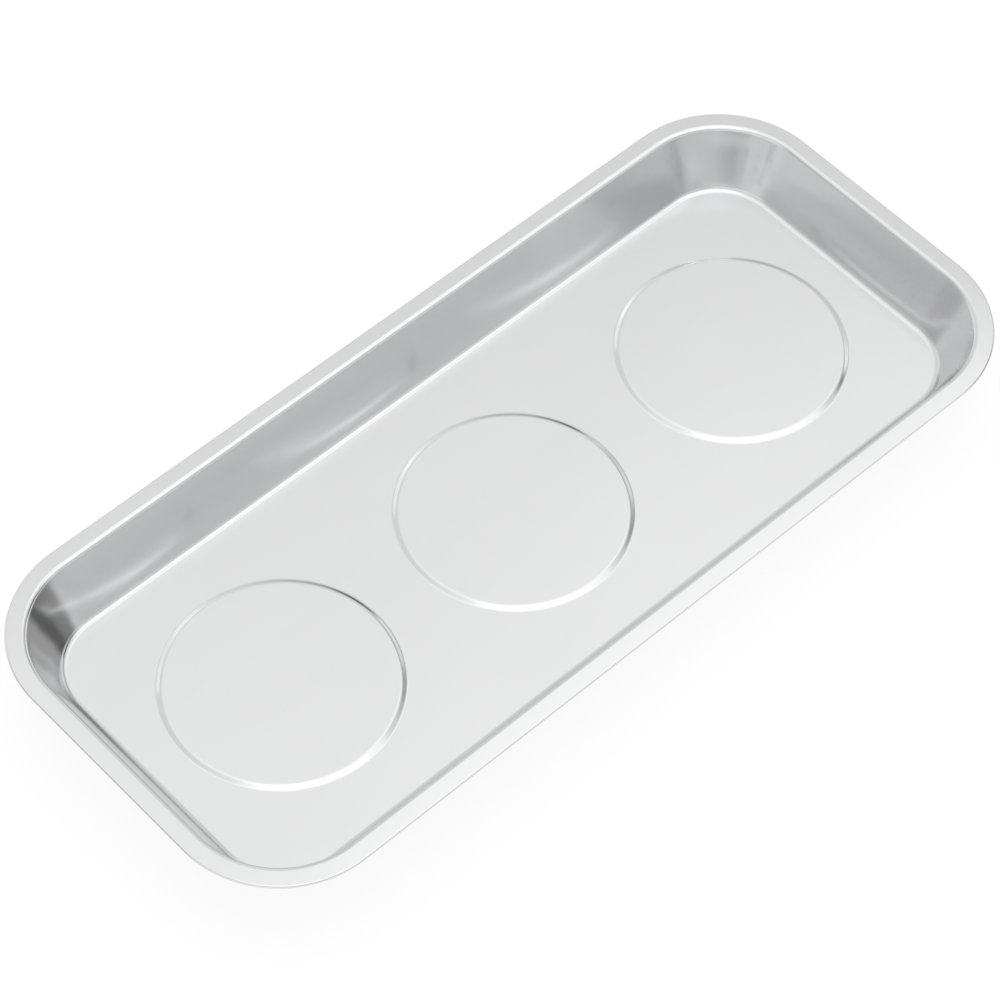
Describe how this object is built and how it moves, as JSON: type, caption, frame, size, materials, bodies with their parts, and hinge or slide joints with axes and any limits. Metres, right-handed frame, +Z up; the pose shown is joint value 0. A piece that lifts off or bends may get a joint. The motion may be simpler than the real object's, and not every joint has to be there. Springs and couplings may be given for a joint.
{
  "type": "magnetic parts tray",
  "caption": "Shallow rounded-rectangle stainless steel tray with raised round magnet seats, on rubber-booted ring magnets that hold small metal parts and grip steel surfaces.",
  "frame": {"origin": "on the bench, under the middle of the tray, at the soles of the rubber boots", "axes": "+X along the tray's length, +Y across it, +Z up out of the open side"},
  "size_m": [0.356, 0.158, 0.0351],
  "materials": {
    "stainless_sheet": "satin rolled stainless sheet",
    "ferrite": "ground ferrite, dull dark grey",
    "boot_rubber": "moulded rubber, matt",
    "zinc_plated_sheet": "zinc plated pressed sheet",
    "zinc_plated_steel": "zinc plated",
    "nylon": "smooth nylon"
  },
  "bodies": {
    "root": {"tray_pan": "stainless_sheet", "left_magnet": "ferrite", "left_boot": "boot_rubber", "left_cup": "zinc_plated_sheet", "left_stud": "zinc_plated_steel", "left_washer": "zinc_plated_steel", "left_nut": "zinc_plated_steel", "left_nylon_ring": "nylon", "middle_magnet": "ferrite", "middle_boot": "boot_rubber", "middle_cup": "zinc_plated_sheet", "middle_stud": "zinc_plated_steel", "middle_washer": "zinc_plated_steel", "middle_nut": "zinc_plated_steel", "middle_nylon_ring": "nylon", "right_magnet": "ferrite", "right_boot": "boot_rubber", "right_cup": "zinc_plated_sheet", "right_stud": "zinc_plated_steel", "right_washer": "zinc_plated_steel", "right_nut": "zinc_plated_steel", "right_nylon_ring": "nylon"}
  },
  "joints": []
}
